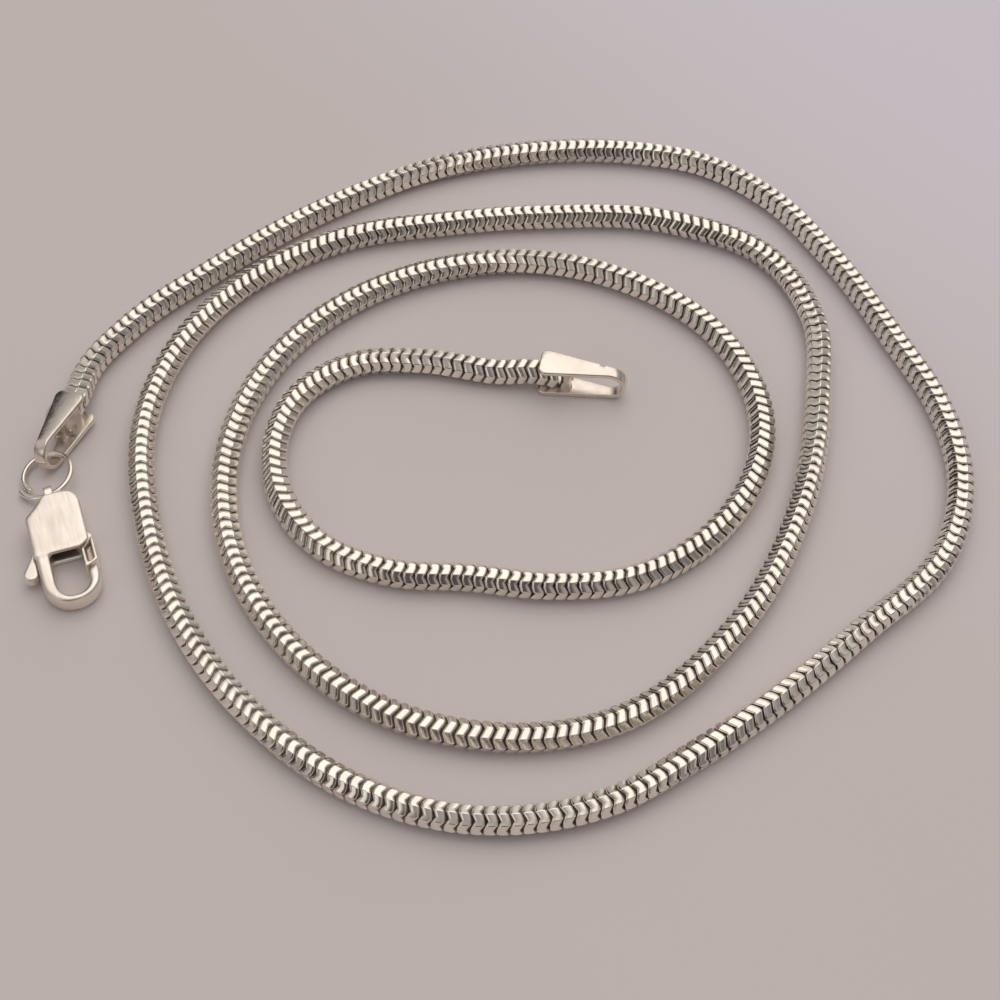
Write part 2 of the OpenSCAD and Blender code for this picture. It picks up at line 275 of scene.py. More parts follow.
window = soft_light(
    "window", azimuth=18, elevation=66, distance=1.0, size=1.3, watts=2.6, tint="#FFF7EE"
)
bpy.context.scene.view_settings.view_transform = "Standard"
print("window light at", [round(c, 2) for c in window.location])

# %% [markdown]
# ## Silver
# Sterling silver is the whitest of the common metals, a little warm. How it looks depends on how it
# was worked. The chain was cut with a diamond tool, which leaves bright flats. The tabs are rolled
# strip, the ring is drawn wire, and the clasp was cast and tumbled, which leaves a satin skin. In
# the gaps between the links no tool or cloth reaches, and there the silver is dull and brown. So
# each finish has its own tint, roughness and pattern, and the patterns have the size in
# millimetres that the scratches and grains have.

# %% Silver materials
# The grain makes the metal smoother and rougher than its mean roughness by these shares
SMOOTHER, ROUGHER = 0.8, 1.25
# Size in mm of the clouds in which the tint turns to the shade
CLOUD_MM = 2.5


def silver(name, tint, shade, roughness, grain_mm, depth_mm, stretch=(1, 1, 1), yaw=0.0):
    """A silver surface. Its grain has a size and a depth, and may be stretched along a way."""
    made = bpy.data.materials.new(name)
    made.use_nodes = True
    tree = made.node_tree
    tree.nodes.clear()
    place = add_node(tree, "ShaderNodeTexCoord")
    laid = add_node(
        tree,
        "ShaderNodeMapping",
        {"vector_type": "TEXTURE", "Rotation": (0, 0, math.radians(yaw)), "Scale": stretch},
        {"Vector": place.outputs["Object"]},
    )
    grain = add_node(
        tree,
        "ShaderNodeTexNoise",
        {"Scale": 1 / (grain_mm * MM), "Detail": 3.0, "Roughness": 0.6},
        {"Vector": laid.outputs["Vector"]},
    )
    wear = add_node(
        tree,
        "ShaderNodeMapRange",
        {
            "From Min": 0.3,
            "From Max": 0.7,
            "To Min": roughness * SMOOTHER,
            "To Max": roughness * ROUGHER,
        },
        {"Value": grain.outputs["Fac"]},
    )
    clouds = add_node(
        tree,
        "ShaderNodeTexNoise",
        {"Scale": 1 / (CLOUD_MM * MM), "Detail": 2.0},
        {"Vector": place.outputs["Object"]},
    )
    spread = add_node(
        tree,
        "ShaderNodeMapRange",
        {"From Min": 0.35, "From Max": 0.65},
        {"Value": clouds.outputs["Fac"]},
    )
    tone = add_node(
        tree,
        "ShaderNodeMix",
        {"data_type": "RGBA", 6: linear(tint), 7: linear(shade)},
        {"Factor": spread.outputs["Result"]},
    )
    relief = add_node(
        tree,
        "ShaderNodeBump",
        {"Strength": 1.0, "Distance": depth_mm * MM},
        {"Height": grain.outputs["Fac"]},
    )
    shader = add_node(
        tree,
        "ShaderNodeBsdfPrincipled",
        {"Metallic": 1.0},
        {
            "Base Color": tone.outputs[2],
            "Roughness": wear.outputs["Result"],
            "Normal": relief.outputs["Normal"],
        },
    )
    add_node(tree, "ShaderNodeOutputMaterial", {}, {"Surface": shader.outputs["BSDF"]})
    return made


# Direction of the clasp from its eye to its hook, along which it was brushed
CLASP_YAW = -68.0
# Tint, shade, roughness, size and depth of the grain in mm, and its stretch
cut_silver = silver("diamond-cut sterling silver", "#F8F3EA", "#EFE9E2", 0.19, 0.4, 0.002)
gap_silver = silver("tarnished silver in the gaps", "#D0C2B6", "#B4A599", 0.5, 0.2, 0.01)
strip_silver = silver("rolled and polished silver strip", "#F4ECE3", "#E9E0D6", 0.19, 0.7, 0.016)
worn_silver = silver("silver dulled by the torch", "#F6EDE5", "#EAE0D6", 0.33, 0.5, 0.012)
solder_silver = silver("silver solder", "#E8DED3", "#CFC3B6", 0.32, 0.4, 0.02)
wire_silver = silver("drawn and polished silver wire", "#F8F3EA", "#F1EBE3", 0.12, 0.4, 0.002)
cast_silver = silver(
    "cast and tumbled satin silver", "#FDF6EE", "#F0E6DC", 0.32, 0.25, 0.01, (9, 1, 1), CLASP_YAW
)
# Painted shade: the clasp's hollows get a darker, browner tone that stands for the shade in them.
# They are also rougher, because the shot doesn't reach them
pocket_silver_painted_shade = silver("dull silver with painted shade in the clasp's hollows", "#DDD2C6", "#BDB0A2", 0.42, 0.3, 0.01)
print("materials:", len(bpy.data.materials))

# %% [markdown]
# ## The chain's way
# The chain follows the same curve as the solid that it replaces: given points in the plan, and
# at each point the tangent of the circle through it and its two neighbours.

# %% Route
ROUTE = [
    (-0.0334, 0.0004), (-0.0331, 0.0038), (-0.0304, 0.0091), (-0.025, 0.0152), (-0.0162, 0.0233),
    (-0.0064, 0.0293), (0.0014, 0.0317), (0.0096, 0.0324), (0.0162, 0.0313), (0.0222, 0.0273),
    (0.0264, 0.0217), (0.0316, 0.0118), (0.0342, 0.006), (0.0353, -0.0012), (0.0338, -0.0078),
    (0.0262, -0.0163), (0.0142, -0.0268), (0.0086, -0.0305), (-0.0004, -0.0324), (-0.009, -0.0304),
    (-0.0166, -0.0252), (-0.026, -0.01), (-0.0277, -0.0003), (-0.0253, 0.0092), (-0.014, 0.02),
    (-0.0062, 0.0223), (0.0017, 0.0238), (0.0137, 0.024), (0.021, 0.0209), (0.0248, 0.014),
    (0.0248, 0.006), (0.0226, -0.0057), (0.0174, -0.0164), (0.0086, -0.0245), (-0.0031, -0.0258),
    (-0.0174, -0.016), (-0.0203, 0.0014), (-0.0097, 0.0153), (0.0077, 0.0176), (0.0174, 0.011),
    (0.0201, 0.0036), (0.0165, -0.0076), (0.0102, -0.0124), (0.0043, -0.0135), (-0.002, -0.0132),
    (-0.008, -0.0131), (-0.0132, -0.011), (-0.0173, -0.0042), (-0.0158, 0.0033), (-0.0125, 0.0061),
    (-0.007, 0.007), (-0.001, 0.0064), (0.0025, 0.0063),
]
# Point of the path at which the solid's outer part meets its inner part
MEETING_POINT = 30
# Angles in degrees between two corners of the eight-sided section, and from a corner to a facet
FACET_TURN = 45.0
HALF_FACET = 22.5
# Height of the solid's middle above the floor, where it rests on a corner
SOLID_HIGH = 1.0 * MM / math.cos(math.radians(HALF_FACET))
# Length of chain between the legs of a tab
TAB_HOLD = 2.5 * MM
# The clasp tab: angles in degrees, its middle's distance from the chain's middle, and its height
CLASP_TAB_YAW, CLASP_TAB_ROLL, CLASP_TAB_DIP = -106.0, 12.0, 1.8
CLASP_TAB_ASIDE = 0.43 * MM
CLASP_TAB_Z = 1.66709 * MM
CLASP_END_Z = CLASP_TAB_Z - CLASP_TAB_ASIDE * math.tan(math.radians(CLASP_TAB_ROLL))
# The hook tab lies flat
HOOK_TAB_YAW = -7.0
HOOK_TAB_Z = 1.43 * MM
# Points of the curve for each span between two points of the route
STEPS = 60


def heading(yaw):
    """The unit vector in plan with an angle in degrees from the X axis."""
    return np.array([math.cos(math.radians(yaw)), math.sin(math.radians(yaw))])


route = np.array(ROUTE)
path = np.vstack([
    route[0] + TAB_HOLD * heading(CLASP_TAB_YAW),
    route,
    route[-1] + TAB_HOLD * heading(HOOK_TAB_YAW),
])
spans = len(path) - 1
span_len = np.linalg.norm(np.diff(path, axis=0), axis=1)
span_way = np.diff(path, axis=0) / span_len[:, None]


def way_at(i):
    """The direction of the curve at a point."""
    if i <= 1:
        return span_way[0]
    if i >= spans - 1:
        return span_way[spans - 1]
    blend = span_way[i - 1] * span_len[i] + span_way[i] * span_len[i - 1]
    return blend / np.linalg.norm(blend)


def ease(f):
    """A soft step from 0 to 1."""
    return f * f * (3 - 2 * f)


curve_xy = []
curve_z = []
for i in range(spans):
    start_way, end_way = way_at(i), way_at(i + 1)
    start_pull = 2 * span_len[i] / (1 + start_way @ span_way[i]) * start_way
    end_pull = 2 * span_len[i] / (1 + end_way @ span_way[i]) * end_way
    for step in range(STEPS + (i == spans - 1)):
        f = step / STEPS
        curve_xy.append(
            path[i] * (1 - ease(f)) + path[i + 1] * ease(f)
            + start_pull * f * (1 - f) ** 2 - end_pull * f * f * (1 - f)
        )
        if i == 0:
            z = CLASP_END_Z - (1 - f) * TAB_HOLD * math.sin(math.radians(CLASP_TAB_DIP))
        elif i == 1:
            z = SOLID_HIGH + (CLASP_END_Z - SOLID_HIGH) * (1 - ease(f))
        elif i == spans - 2:
            z = SOLID_HIGH + (HOOK_TAB_Z - SOLID_HIGH) * ease(f)
        else:
            z = HOOK_TAB_Z if i == spans - 1 else SOLID_HIGH
        curve_z.append(z)
curve = np.column_stack([np.array(curve_xy), curve_z])
run = np.concatenate([[0], np.cumsum(np.linalg.norm(np.diff(curve, axis=0), axis=1))])
chain_length = run[-1]
print("chain length in mm:", round(chain_length / MM, 1))


# %% Place and frame at a distance along the chain
# Half of the stretch of chain whose ends give the chain's direction at its middle
DIRECTION_HALF = 0.1 * MM


def curve_at(distance):
    """Points of the curve. Past either end it goes on straight."""
    inside = np.clip(distance, 0, chain_length)
    point = np.stack([np.interp(inside, run, curve[:, c]) for c in range(3)], -1)
    first_way = (curve[1] - curve[0]) / (run[1] - run[0])
    last_way = (curve[-1] - curve[-2]) / (run[-1] - run[-2])
    point += np.minimum(distance, 0)[..., None] * first_way
    point += np.maximum(distance - chain_length, 0)[..., None] * last_way
    return point


def place_at(distance):
    """Position, and the directions along, to the left of and up from the chain, at distances."""
    along = curve_at(distance + DIRECTION_HALF) - curve_at(distance - DIRECTION_HALF)
    along /= np.linalg.norm(along, axis=-1, keepdims=True)
    left = np.stack([-along[..., 1], along[..., 0], np.zeros(along.shape[:-1])], -1)
    left /= np.linalg.norm(left, axis=-1, keepdims=True)
    return curve_at(distance), along, left, np.cross(along, left)


# %% [markdown]
# ## How the chain is twisted
# A snake chain that is laid by hand twists slowly, so that another facet faces the light every few
# centimetres. The links are also a little free in each other, so that their waves turn slightly
# faster or slower than the facets, which were cut later. One table says where a corner of the
# eight-sided section is, and the other where the wave has a crest, at distances along the chain.
# Both were read from the photograph, about one value every centimetre.

# %% Twist tables
# Distance in mm, and the angle of a corner in degrees, from the chain's left side towards the top
CORNER_TABLE = [
    (0, 10.5), (3, 10.5), (8, 18), (12, 27), (25, 30), (35, 27), (45, 6), (55, -3), (65, -27),
    (75, -27), (85, -21), (105, -21), (115, -21), (125, -45), (135, -57), (145, -84), (155, -90),
    (165, -111), (175, -126), (185, -117), (195, -108), (205, -102), (215, -87), (225, -99),
    (235, -102), (245, -108), (255, -105), (265, -93), (275, -90), (285, -84), (295, -75),
    (305, -84), (315, -81), (325, -81), (335, -75), (345, -75), (355, -69), (365, -63), (375, -60),
    (385, -57), (395, -30), (405, -24), (415, -21), (425, -27), (435, -24), (445, -18), (455, -27),
    (465, -21), (475, -15), (485, 0), (492, 12), (498, 22.5), (504, 22.5),
]
# Distance in mm, and the angle of a crest in degrees
CREST_TABLE = [
    (0, 48), (12, 50), (28, 50), (36, 42), (44, 28), (52, 16), (60, 0), (68, -9), (76, -5),
    (84, -2), (100, -3), (110, -5), (118, -12), (126, -28), (134, -48), (142, -64), (150, -70),
    (158, -80), (166, -90), (174, -94), (182, -89), (190, -86), (204, -88), (212, -89), (220, -94),
    (228, -107), (236, -129), (244, -137), (252, -141), (260, -151), (268, -162), (276, -164),
    (284, -157), (292, -143), (300, -135), (308, -139), (316, -135), (324, -133), (332, -123),
    (340, -105), (348, -97), (356, -103), (364, -122), (372, -124), (388, -122), (396, -111),
    (404, -103), (412, -106), (420, -119), (428, -117), (436, -116), (444, -122), (452, -130),
    (460, -128), (468, -113), (476, -99), (484, -104), (492, -112), (504, -112),
]


# Half of the stretch in mm over which each table is averaged
CORNER_BLUR = 3
CREST_BLUR = 4


def smoothed(table, distance_mm, blur_mm):
    """The table's value, averaged over a short stretch so that it has no kinks."""
    at, value = np.array(table).T
    shifts = np.linspace(-blur_mm, blur_mm, 5)
    return np.mean([np.interp(distance_mm + shift, at, value) for shift in shifts], axis=0)


corner_at_100 = float(smoothed(CORNER_TABLE, np.array(100.0), CORNER_BLUR))
print("corner at 100 mm:", round(corner_at_100, 1), "degrees")

# %% [markdown]
# ## One link
# A link is a ring of thin metal, stamped into a wave: on its way round it goes forward and back
# four times, by about a third of a millimetre, and its neighbours nest into the wave. Its outside
# is flat on each of the eight facets, with round shoulders. The outside of each bend is blunt and
# the inside is sharp, which leaves a small dark hole at each. A narrow collar reaches under the
# link behind it, so that the gaps show metal and not the floor.

# %% Link shape
PITCH = 0.85 * MM
# From the chain's middle to a facet, a hair less than on the solid
CHAIN_HALF = 0.99 * MM
# How far a crest stands forward, and the angle from one crest to the next
WAVE = 0.2 * MM
WAVE_TURN = 90.0
# Half angles of the bevel at a corner and of the blunt part of a bend
CORNER_BEVEL = 1.5
BEND_HALF = 7.0
# How much the outside of a bend is blunted at an angle from the bend's middle
BLUNT_AT = [0.0, 7.0, 14.0]
BLUNT_BY = [0.13 * MM, 0.06 * MM, 0.0]
# Smallest angle between two columns of vertices
COLUMN_STEP = 0.6
# Through the metal, in mm: distance forward, depth below the facet, and 1 where the gap begins
PROFILE = [
    (0.11, 0.002, 0), (0.22, 0.014, 0), (0.32, 0.045, 0), (0.385, 0.100, 1), (0.380, 0.150, 1),
    (0.00, 0.160, 1), (-0.20, 0.270, 1), (-0.66, 0.270, 1), (-0.66, 0.190, 1), (-0.38, 0.180, 1),
    (-0.385, 0.100, 0), (-0.32, 0.045, 0), (-0.22, 0.014, 0), (-0.11, 0.002, 0),
]
profile = np.array(PROFILE)
profile_on = profile[:, 0] * MM
profile_deep = profile[:, 1] * MM
# From the middle of a link's outside, in mm, to where its bends are blunted in full
FULL_BLUNT = 0.335
fore = np.clip(profile[:, 0] / FULL_BLUNT, 0, 1)
aft = np.clip(-profile[:, 0] / FULL_BLUNT, 0, 1)
corner_r = CHAIN_HALF / math.cos(math.radians(HALF_FACET - CORNER_BEVEL))
# Random tilt of single links, the room that it needs under the lowest edge, and random roll
TILT = math.radians(0.7)
LIFT = 0.012 * MM
ROLL_PLAY = 0.8
# Distances in mm from the chain's ends: the tabs carry the links up to the first, and from the
# second on they rest on the floor
CARRIED_TO, FREE_FROM = 3.0, 7.0


def to_nearest(angle, turn):
    """The signed angle to the nearest whole multiple of a turn."""
    return (angle + turn / 2) % turn - turn / 2


def link_columns(corner, crest):
    """Sorted angles of the columns of each link, and whether each is at a corner."""
    eighths = np.arange(8) * FACET_TURN
    corners = (eighths[:, None] + np.array([-CORNER_BEVEL, CORNER_BEVEL])).ravel()
    bends = (eighths[:, None] + np.array([-BEND_HALF, 0, BEND_HALF])).ravel()
    angle = np.hstack([corner[:, None] + corners, crest[:, None] + bends]) % 360
    is_corner = np.zeros(angle.shape, bool)
    is_corner[:, :len(corners)] = True
    order = np.argsort(angle, axis=1)
    angle = np.take_along_axis(angle, order, 1)
    is_corner = np.take_along_axis(is_corner, order, 1)
    for k in range(1, angle.shape[1]):
        angle[:, k] = np.maximum(angle[:, k], angle[:, k - 1] + COLUMN_STEP)
    return angle, is_corner


def links_mesh(name, first, last):
    """A mesh of the links from number first up to, but not including, number last."""
    middle = (np.arange(first, last) + 0.5) * PITCH
    play = np.random.default_rng(100 + first)
    roll = play.uniform(-ROLL_PLAY, ROLL_PLAY, len(middle))
    corner = smoothed(CORNER_TABLE, middle / MM, CORNER_BLUR) + roll
    crest = smoothed(CREST_TABLE, middle / MM, CREST_BLUR)
    tilt = play.normal(0, TILT, len(middle)).clip(-2 * TILT, 2 * TILT)
    tilt_to = play.uniform(0, 2 * math.pi, len(middle))
    angle, is_corner = link_columns(corner, crest)

    # The wave, and the blunt outside of its bends
    phase = to_nearest(angle - crest[:, None], WAVE_TURN)
    wave = WAVE * (1 - np.abs(phase) / (WAVE_TURN / 4))
    crest_blunt = np.interp(np.abs(phase), BLUNT_AT, BLUNT_BY)
    valley_blunt = np.interp(WAVE_TURN / 2 - np.abs(phase), BLUNT_AT, BLUNT_BY)
    lean = tilt[:, None] * np.cos(np.radians(angle) - tilt_to[:, None])
    shift = (
        wave[:, :, None] + profile_on
        - crest_blunt[:, :, None] * fore + valley_blunt[:, :, None] * aft
    )
    facet_turn = to_nearest(angle - corner[:, None] - HALF_FACET, FACET_TURN)
    facet_r = np.minimum(CHAIN_HALF / np.cos(np.radians(facet_turn)), corner_r)
    radius = facet_r[:, :, None] - profile_deep + shift * lean[:, :, None]
    distance = middle[:, None, None] + shift - facet_r[:, :, None] * lean[:, :, None]

    # Each link rests on its lowest facet or corner, except between the legs of the tabs
    off_corner = np.abs(to_nearest(corner + 90.0, FACET_TURN))
    rest_high = corner_r * np.cos(np.radians(np.maximum(off_corner - CORNER_BEVEL, 0))) + LIFT
    from_end = np.minimum(middle, chain_length - middle) / MM
    free = ease(np.clip((from_end - CARRIED_TO) / (FREE_FROM - CARRIED_TO), 0, 1))
    drop = free * (SOLID_HIGH - rest_high)

    point, along, left, high = place_at(distance)
    turn = np.radians(angle)
    position = (
        point
        + radius[..., None] * np.cos(turn)[:, :, None, None] * left
        + radius[..., None] * np.sin(turn)[:, :, None, None] * high
    )
    position[..., 2] -= drop[:, None, None]
    links, around, through = position.shape[:3]
    index = np.arange(links * around * through).reshape(links, around, through)
    next_round = np.roll(index, -1, axis=1)
    quads = np.stack([
        index, np.roll(index, -1, axis=2), np.roll(next_round, -1, axis=2), next_round,
    ], -1).reshape(-1, 4)
    in_gap = np.broadcast_to(profile[:, 2], (links, around, through)).reshape(-1)
    mesh = bpy.data.meshes.new(name)
    mesh.vertices.add(position.size // 3)
    mesh.vertices.foreach_set("co", position.reshape(-1))
    mesh.loops.add(quads.size)
    mesh.loops.foreach_set("vertex_index", quads.reshape(-1))
    mesh.polygons.add(len(quads))
    mesh.polygons.foreach_set("loop_start", np.arange(len(quads)) * 4)
    mesh.update(calc_edges=True)
    mesh.materials.append(cut_silver)
    mesh.materials.append(gap_silver)
    mesh.polygons.foreach_set("material_index", in_gap.astype(np.int32))
    mesh.polygons.foreach_set("use_smooth", np.ones(len(quads), bool))

    # The facets' edges stay crisp: they run through the metal along the columns at the corners
    ends = np.empty(len(mesh.edges) * 2, np.int32)
    mesh.edges.foreach_get("vertices", ends)
    column = ends.reshape(-1, 2) // through
    crisp = (column[:, 0] == column[:, 1]) & is_corner.reshape(-1)[column[:, 0]]
    sharp = mesh.attributes.new("sharp_edge", "BOOLEAN", "EDGE")
    sharp.data.foreach_set("value", crisp)
    return mesh


# %% Chain
link_count = int(chain_length / PITCH)
meeting = np.interp(MEETING_POINT * STEPS, np.arange(len(run)), run)
meet_link = int(meeting / PITCH)
# The solid is in two nodes, and each is dressed in two pieces
cuts = [0, meet_link // 2, meet_link, (meet_link + link_count) // 2, link_count]
for part in range(4):
    name = f"chain_links_{part + 1}"
    mesh = links_mesh(name, cuts[part], cuts[part + 1])
    piece = put_in_scene(name, mesh)
    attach(piece, "root")
    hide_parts("chain_outer" if part < 2 else "chain_inner")
    print(name, cuts[part + 1] - cuts[part], "links,", 2 * len(mesh.polygons), "triangles")

# %% [markdown]
# ## Swept pieces
# The tabs and the ring are each one strip or wire, bent along a line. A swept mesh has one ring of
# points at each place along the line, walls between the rings, and a flat face at each end.

# %% Sweep
def swept_mesh(name, rings, matrix, material, sharp_degrees, inner=None, inner_walls=()):
    """A closed tube through rings of points in mm, moved by a matrix in metres.

    The walls whose number in the ring is one of inner_walls get the inner material.
    """
    count, around = rings.shape[:2]
    points = [matrix @ Vector(p * MM) for p in rings.reshape(-1, 3)]
    faces = []
    for i in range(count - 1):
        for j in range(around):
            k = (j + 1) % around
            faces.append((i * around + j, i * around + k, (i + 1) * around + k, (i + 1) * around + j))
    faces.append(tuple(range(around - 1, -1, -1)))
    faces.append(tuple((count - 1) * around + j for j in range(around)))
    mesh = bpy.data.meshes.new(name)
    mesh.from_pydata(points, [], faces)
    mesh.materials.append(material)
    if inner:
        mesh.materials.append(inner)
        walls = [int(f < len(faces) - 2 and f % around in inner_walls) for f in range(len(faces))]
        mesh.polygons.foreach_set("material_index", walls)
    mesh.polygons.foreach_set("use_smooth", np.ones(len(faces), bool))
    mesh.set_sharp_from_angle(angle=math.radians(sharp_degrees))
    return mesh


def add_piece(name, mesh, body, node):
    """Puts a mesh into the scene as a piece that rides on a body and may replace a solid."""
    piece = put_in_scene(name, mesh)
    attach(piece, body)
    if node:
        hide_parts(node)
    print(name, sum(len(f.vertices) - 2 for f in mesh.polygons), "triangles")
    return piece


# %% [markdown]
# ## End tabs
# A tab is a strip of silver, cut wide at both ends and narrow in the middle, then folded round a
# rod so that its two legs grip the chain. It is soldered there. Rolling and polishing leave its
# edges slightly round. The nick in the edge of the hook tab is where the strip was parted.

# %% Strip shape
# All in mm: the strip, half of the room between the legs, the legs, and the nick and its place
TAB_THICK, TAB_WIDE, TAB_NARROW, TAB_CORNER = 0.4, 2.4, 1.0, 0.6
TAB_INNER, CLASP_LEG, HOOK_LEG = 1.03, 4.75, 5.6
NICK_R, NICK_BACK = 0.2, 0.7
EDGE_ROUND = 0.11
# The strip is thinner at its free ends by a share, over a distance in mm
END_THINNER, THIN_OVER = 0.25, 0.05
# Distances of the rings of points from a free end, in mm: close along the round corners
NEAR_END = [0.0, 0.015, 0.05, 0.1, 0.17, 0.26, 0.36, 0.48, 0.6]
# Then one at each step, and closer ones from a little before the nick to a little after it
FAR_FIRST, FAR_STEP = 0.85, 0.25
NICK_REACH, NICK_STEP, NICK_RINGS = 0.24, 0.04, 13
FOLD_STEPS = 28
# Numbers of the walls of the strip that face the chain
INNER_WALLS = range(9, 15)
fold_r = TAB_INNER + TAB_THICK / 2


def half_width(x, length):
    """Half of the strip's width at a distance from the free end of a leg of a length."""
    if x < TAB_CORNER:
        return TAB_WIDE / 2 - TAB_CORNER + math.sqrt(TAB_CORNER ** 2 - (TAB_CORNER - x) ** 2)
    share = min((x - TAB_CORNER) / (length - TAB_CORNER), 1)
    return TAB_WIDE / 2 - share * (TAB_WIDE - TAB_NARROW) / 2


def strip_rings(length, nicked):
    """Rings of points along the strip, from the end of the upper leg to that of the lower leg."""
    near_nick = [length - NICK_BACK - NICK_REACH + NICK_STEP * k for k in range(NICK_RINGS)]
    far_on = list(np.arange(FAR_FIRST, near_nick[0] - 0.1, FAR_STEP))
    far_on += near_nick + [length - FAR_STEP]
    leg = [(x, min(x / THIN_OVER, 1)) for x in NEAR_END] + [(x, 1) for x in far_on]
    rings = []
    corner_turns = [math.radians(a) for a in (0, 30, 60, 90)]

    def ring_at(centre, outward, low_y, high_y, full):
        """The section of the strip with four round edges. It is as thick as the share full says."""
        half = TAB_THICK / 2 * (1 - END_THINNER + END_THINNER * full)
        r = EDGE_ROUND
        points = []
        for sy, st, start in ((1, 1, 0), (-1, 1, 90), (-1, -1, 180), (1, -1, 270)):
            edge = high_y if sy > 0 else low_y
            for a in corner_turns:
                turn = math.radians(start) + a
                y = edge - sy * r + r * math.cos(turn)
                t = st * (half - r) + r * math.sin(turn)
                points.append((centre[0] + outward[0] * t, y, centre[1] + outward[1] * t))
        return points

    for x, full in leg:
        high_y = half_width(x, length)
        from_nick = abs(x - (length - NICK_BACK))
        if nicked and from_nick < NICK_R:
            high_y -= math.sqrt(NICK_R ** 2 - from_nick ** 2)
        rings.append(ring_at((x, fold_r), (0, 1), -half_width(x, length), high_y, full))
    for k in range(FOLD_STEPS + 1):
        a = math.pi / 2 - math.pi * k / FOLD_STEPS
        outward = (math.cos(a), math.sin(a))
        centre = (length + fold_r * outward[0], fold_r * outward[1])
        rings.append(ring_at(centre, outward, -TAB_NARROW / 2, TAB_NARROW / 2, 1))
    for x, full in reversed(leg):
        half = half_width(x, length)
        rings.append(ring_at((x, -fold_r), (0, -1), -half, half, full))
    return np.array(rings)


def tab_matrix(mouth, roll, dip, yaw):
    """The place of a tab whose mouth is at a point, with its angles in degrees."""
    turn = Euler([math.radians(a) for a in (roll, dip, yaw)], "XYZ")
    return Matrix.Translation(Vector(mouth)) @ turn.to_matrix().to_4x4()


clasp_tab_at = route[0] + CLASP_TAB_ASIDE * heading(CLASP_TAB_YAW + 90)
clasp_tab_place = tab_matrix(
    (*clasp_tab_at, CLASP_TAB_Z), CLASP_TAB_ROLL, CLASP_TAB_DIP, CLASP_TAB_YAW
)
hook_tab_place = tab_matrix((*route[-1], HOOK_TAB_Z), 0, 0, HOOK_TAB_YAW)
for name, place, length, nicked in (
    ("clasp_tab_strip", clasp_tab_place, CLASP_LEG, False),
    ("hook_tab_strip", hook_tab_place, HOOK_LEG, True),
):
    rings = strip_rings(length, nicked)
    mesh = swept_mesh(name, rings, place, strip_silver, 50, worn_silver, INNER_WALLS)
    add_piece(name, mesh, "root", name.replace("_strip", ""))

# %% [markdown]
# ## Solder
# The last links are filled with solder, which has also run out over the inside of both legs. It
# froze with a lumpy skin and an uneven edge.

# %% Solder
# Lumps round the plug: how many, their size in mm and how they shift with the height
SOLDER_LUMPS = [(2, 0.05, 2.0), (3, 0.06, -4.0), (5, 0.05, 5.0), (8, 0.04, -3.0)]
# The plug is a box with round corners: 1 would be an ellipse, and 0 a box
SOLDER_CORNERS = 0.7
# In mm: the height over which the solder spreads at each leg, its spread under the upper leg,
# and the hair between the solder and the legs
SPREAD_HIGH = 0.16
SPILL_HIGH = 0.2
SOLDER_GAP = 0.004


def solder_rings(middle, aside, half_long, half_wide, spill_low, seed):
    """Rings of points round a plug of solder, from the lower leg up to the upper leg."""
    phases = np.random.default_rng(seed).uniform(0, 2 * math.pi, 4)
    turn = np.linspace(0, 2 * math.pi, 37)[:-1]
    ahead = np.sign(np.cos(turn)) * np.abs(np.cos(turn)) ** SOLDER_CORNERS
    beside = np.sign(np.sin(turn)) * np.abs(np.sin(turn)) ** SOLDER_CORNERS
    rings = []
    for z in np.linspace(-1, 1, 17) * (TAB_INNER - SOLDER_GAP):
        run_low = math.exp(-(z + TAB_INNER) / SPREAD_HIGH)
        run_high = math.exp(-(TAB_INNER - z) / SPREAD_HIGH)
        lumps = sum(
            size * np.sin(count * turn + rise * z + phase)
            for (count, size, rise), phase in zip(SOLDER_LUMPS, phases)
        )
        spill = spill_low * run_low + SPILL_HIGH * run_high
        x = middle + (half_long + spill * (ahead > 0) + lumps * (0.5 + run_low)) * ahead
        y = aside + (half_wide + 0.3 * lumps) * beside
        rings.append(np.column_stack([x, y, np.full(len(turn), z)]))
    return np.array(rings)


# Each plug in mm: its middle from the mouth and from the tab's middle, its half length and half
# width, and its spread over the lower leg
for name, place, size, seed in (
    ("clasp_tab_solder", clasp_tab_place, (1.6, -0.28, 1.0, 1.08, 0.5), 3),
    ("hook_tab_solder", hook_tab_place, (2.2, 0.0, 0.36, 0.85, 0.18), 8),
):
    mesh = swept_mesh(name, solder_rings(*size, seed), place, solder_silver, 60)
    add_piece(name, mesh, "root", None)

# %% [markdown]
# ## Jump ring
# The ring is a turn of round wire, cut from a coil. Its two ends pass each other a little and lie
# side by side, as a ring does that is bent shut with pliers. The file has taken off their burrs.

# %% Jump ring
# In mm, and the overlap of the cut ends in degrees
RING_WIRE, RING_INNER, RING_SPLIT, RING_OVERLAP = 0.45, 3.5, 0.05, 20.0
RING_TILT, RING_CUT_YAW = 12.5, 230.0
RING_AT = Vector((-34.41626, -6.00532, 0.728513)) * MM
# The wire is a hair thinner than on the solid, and its ends are filed round over a short length
WIRE_R = RING_WIRE / 2 - 0.006
FILED_LONG, FILED_SHARE = 0.045, 0.84
WIRE_PLACES, WIRE_SIDES = 161, 28
ring_r = (RING_INNER + RING_WIRE) / 2
ring_shift = (RING_WIRE + RING_SPLIT) / 4
ring_half = 180 + RING_OVERLAP / 2


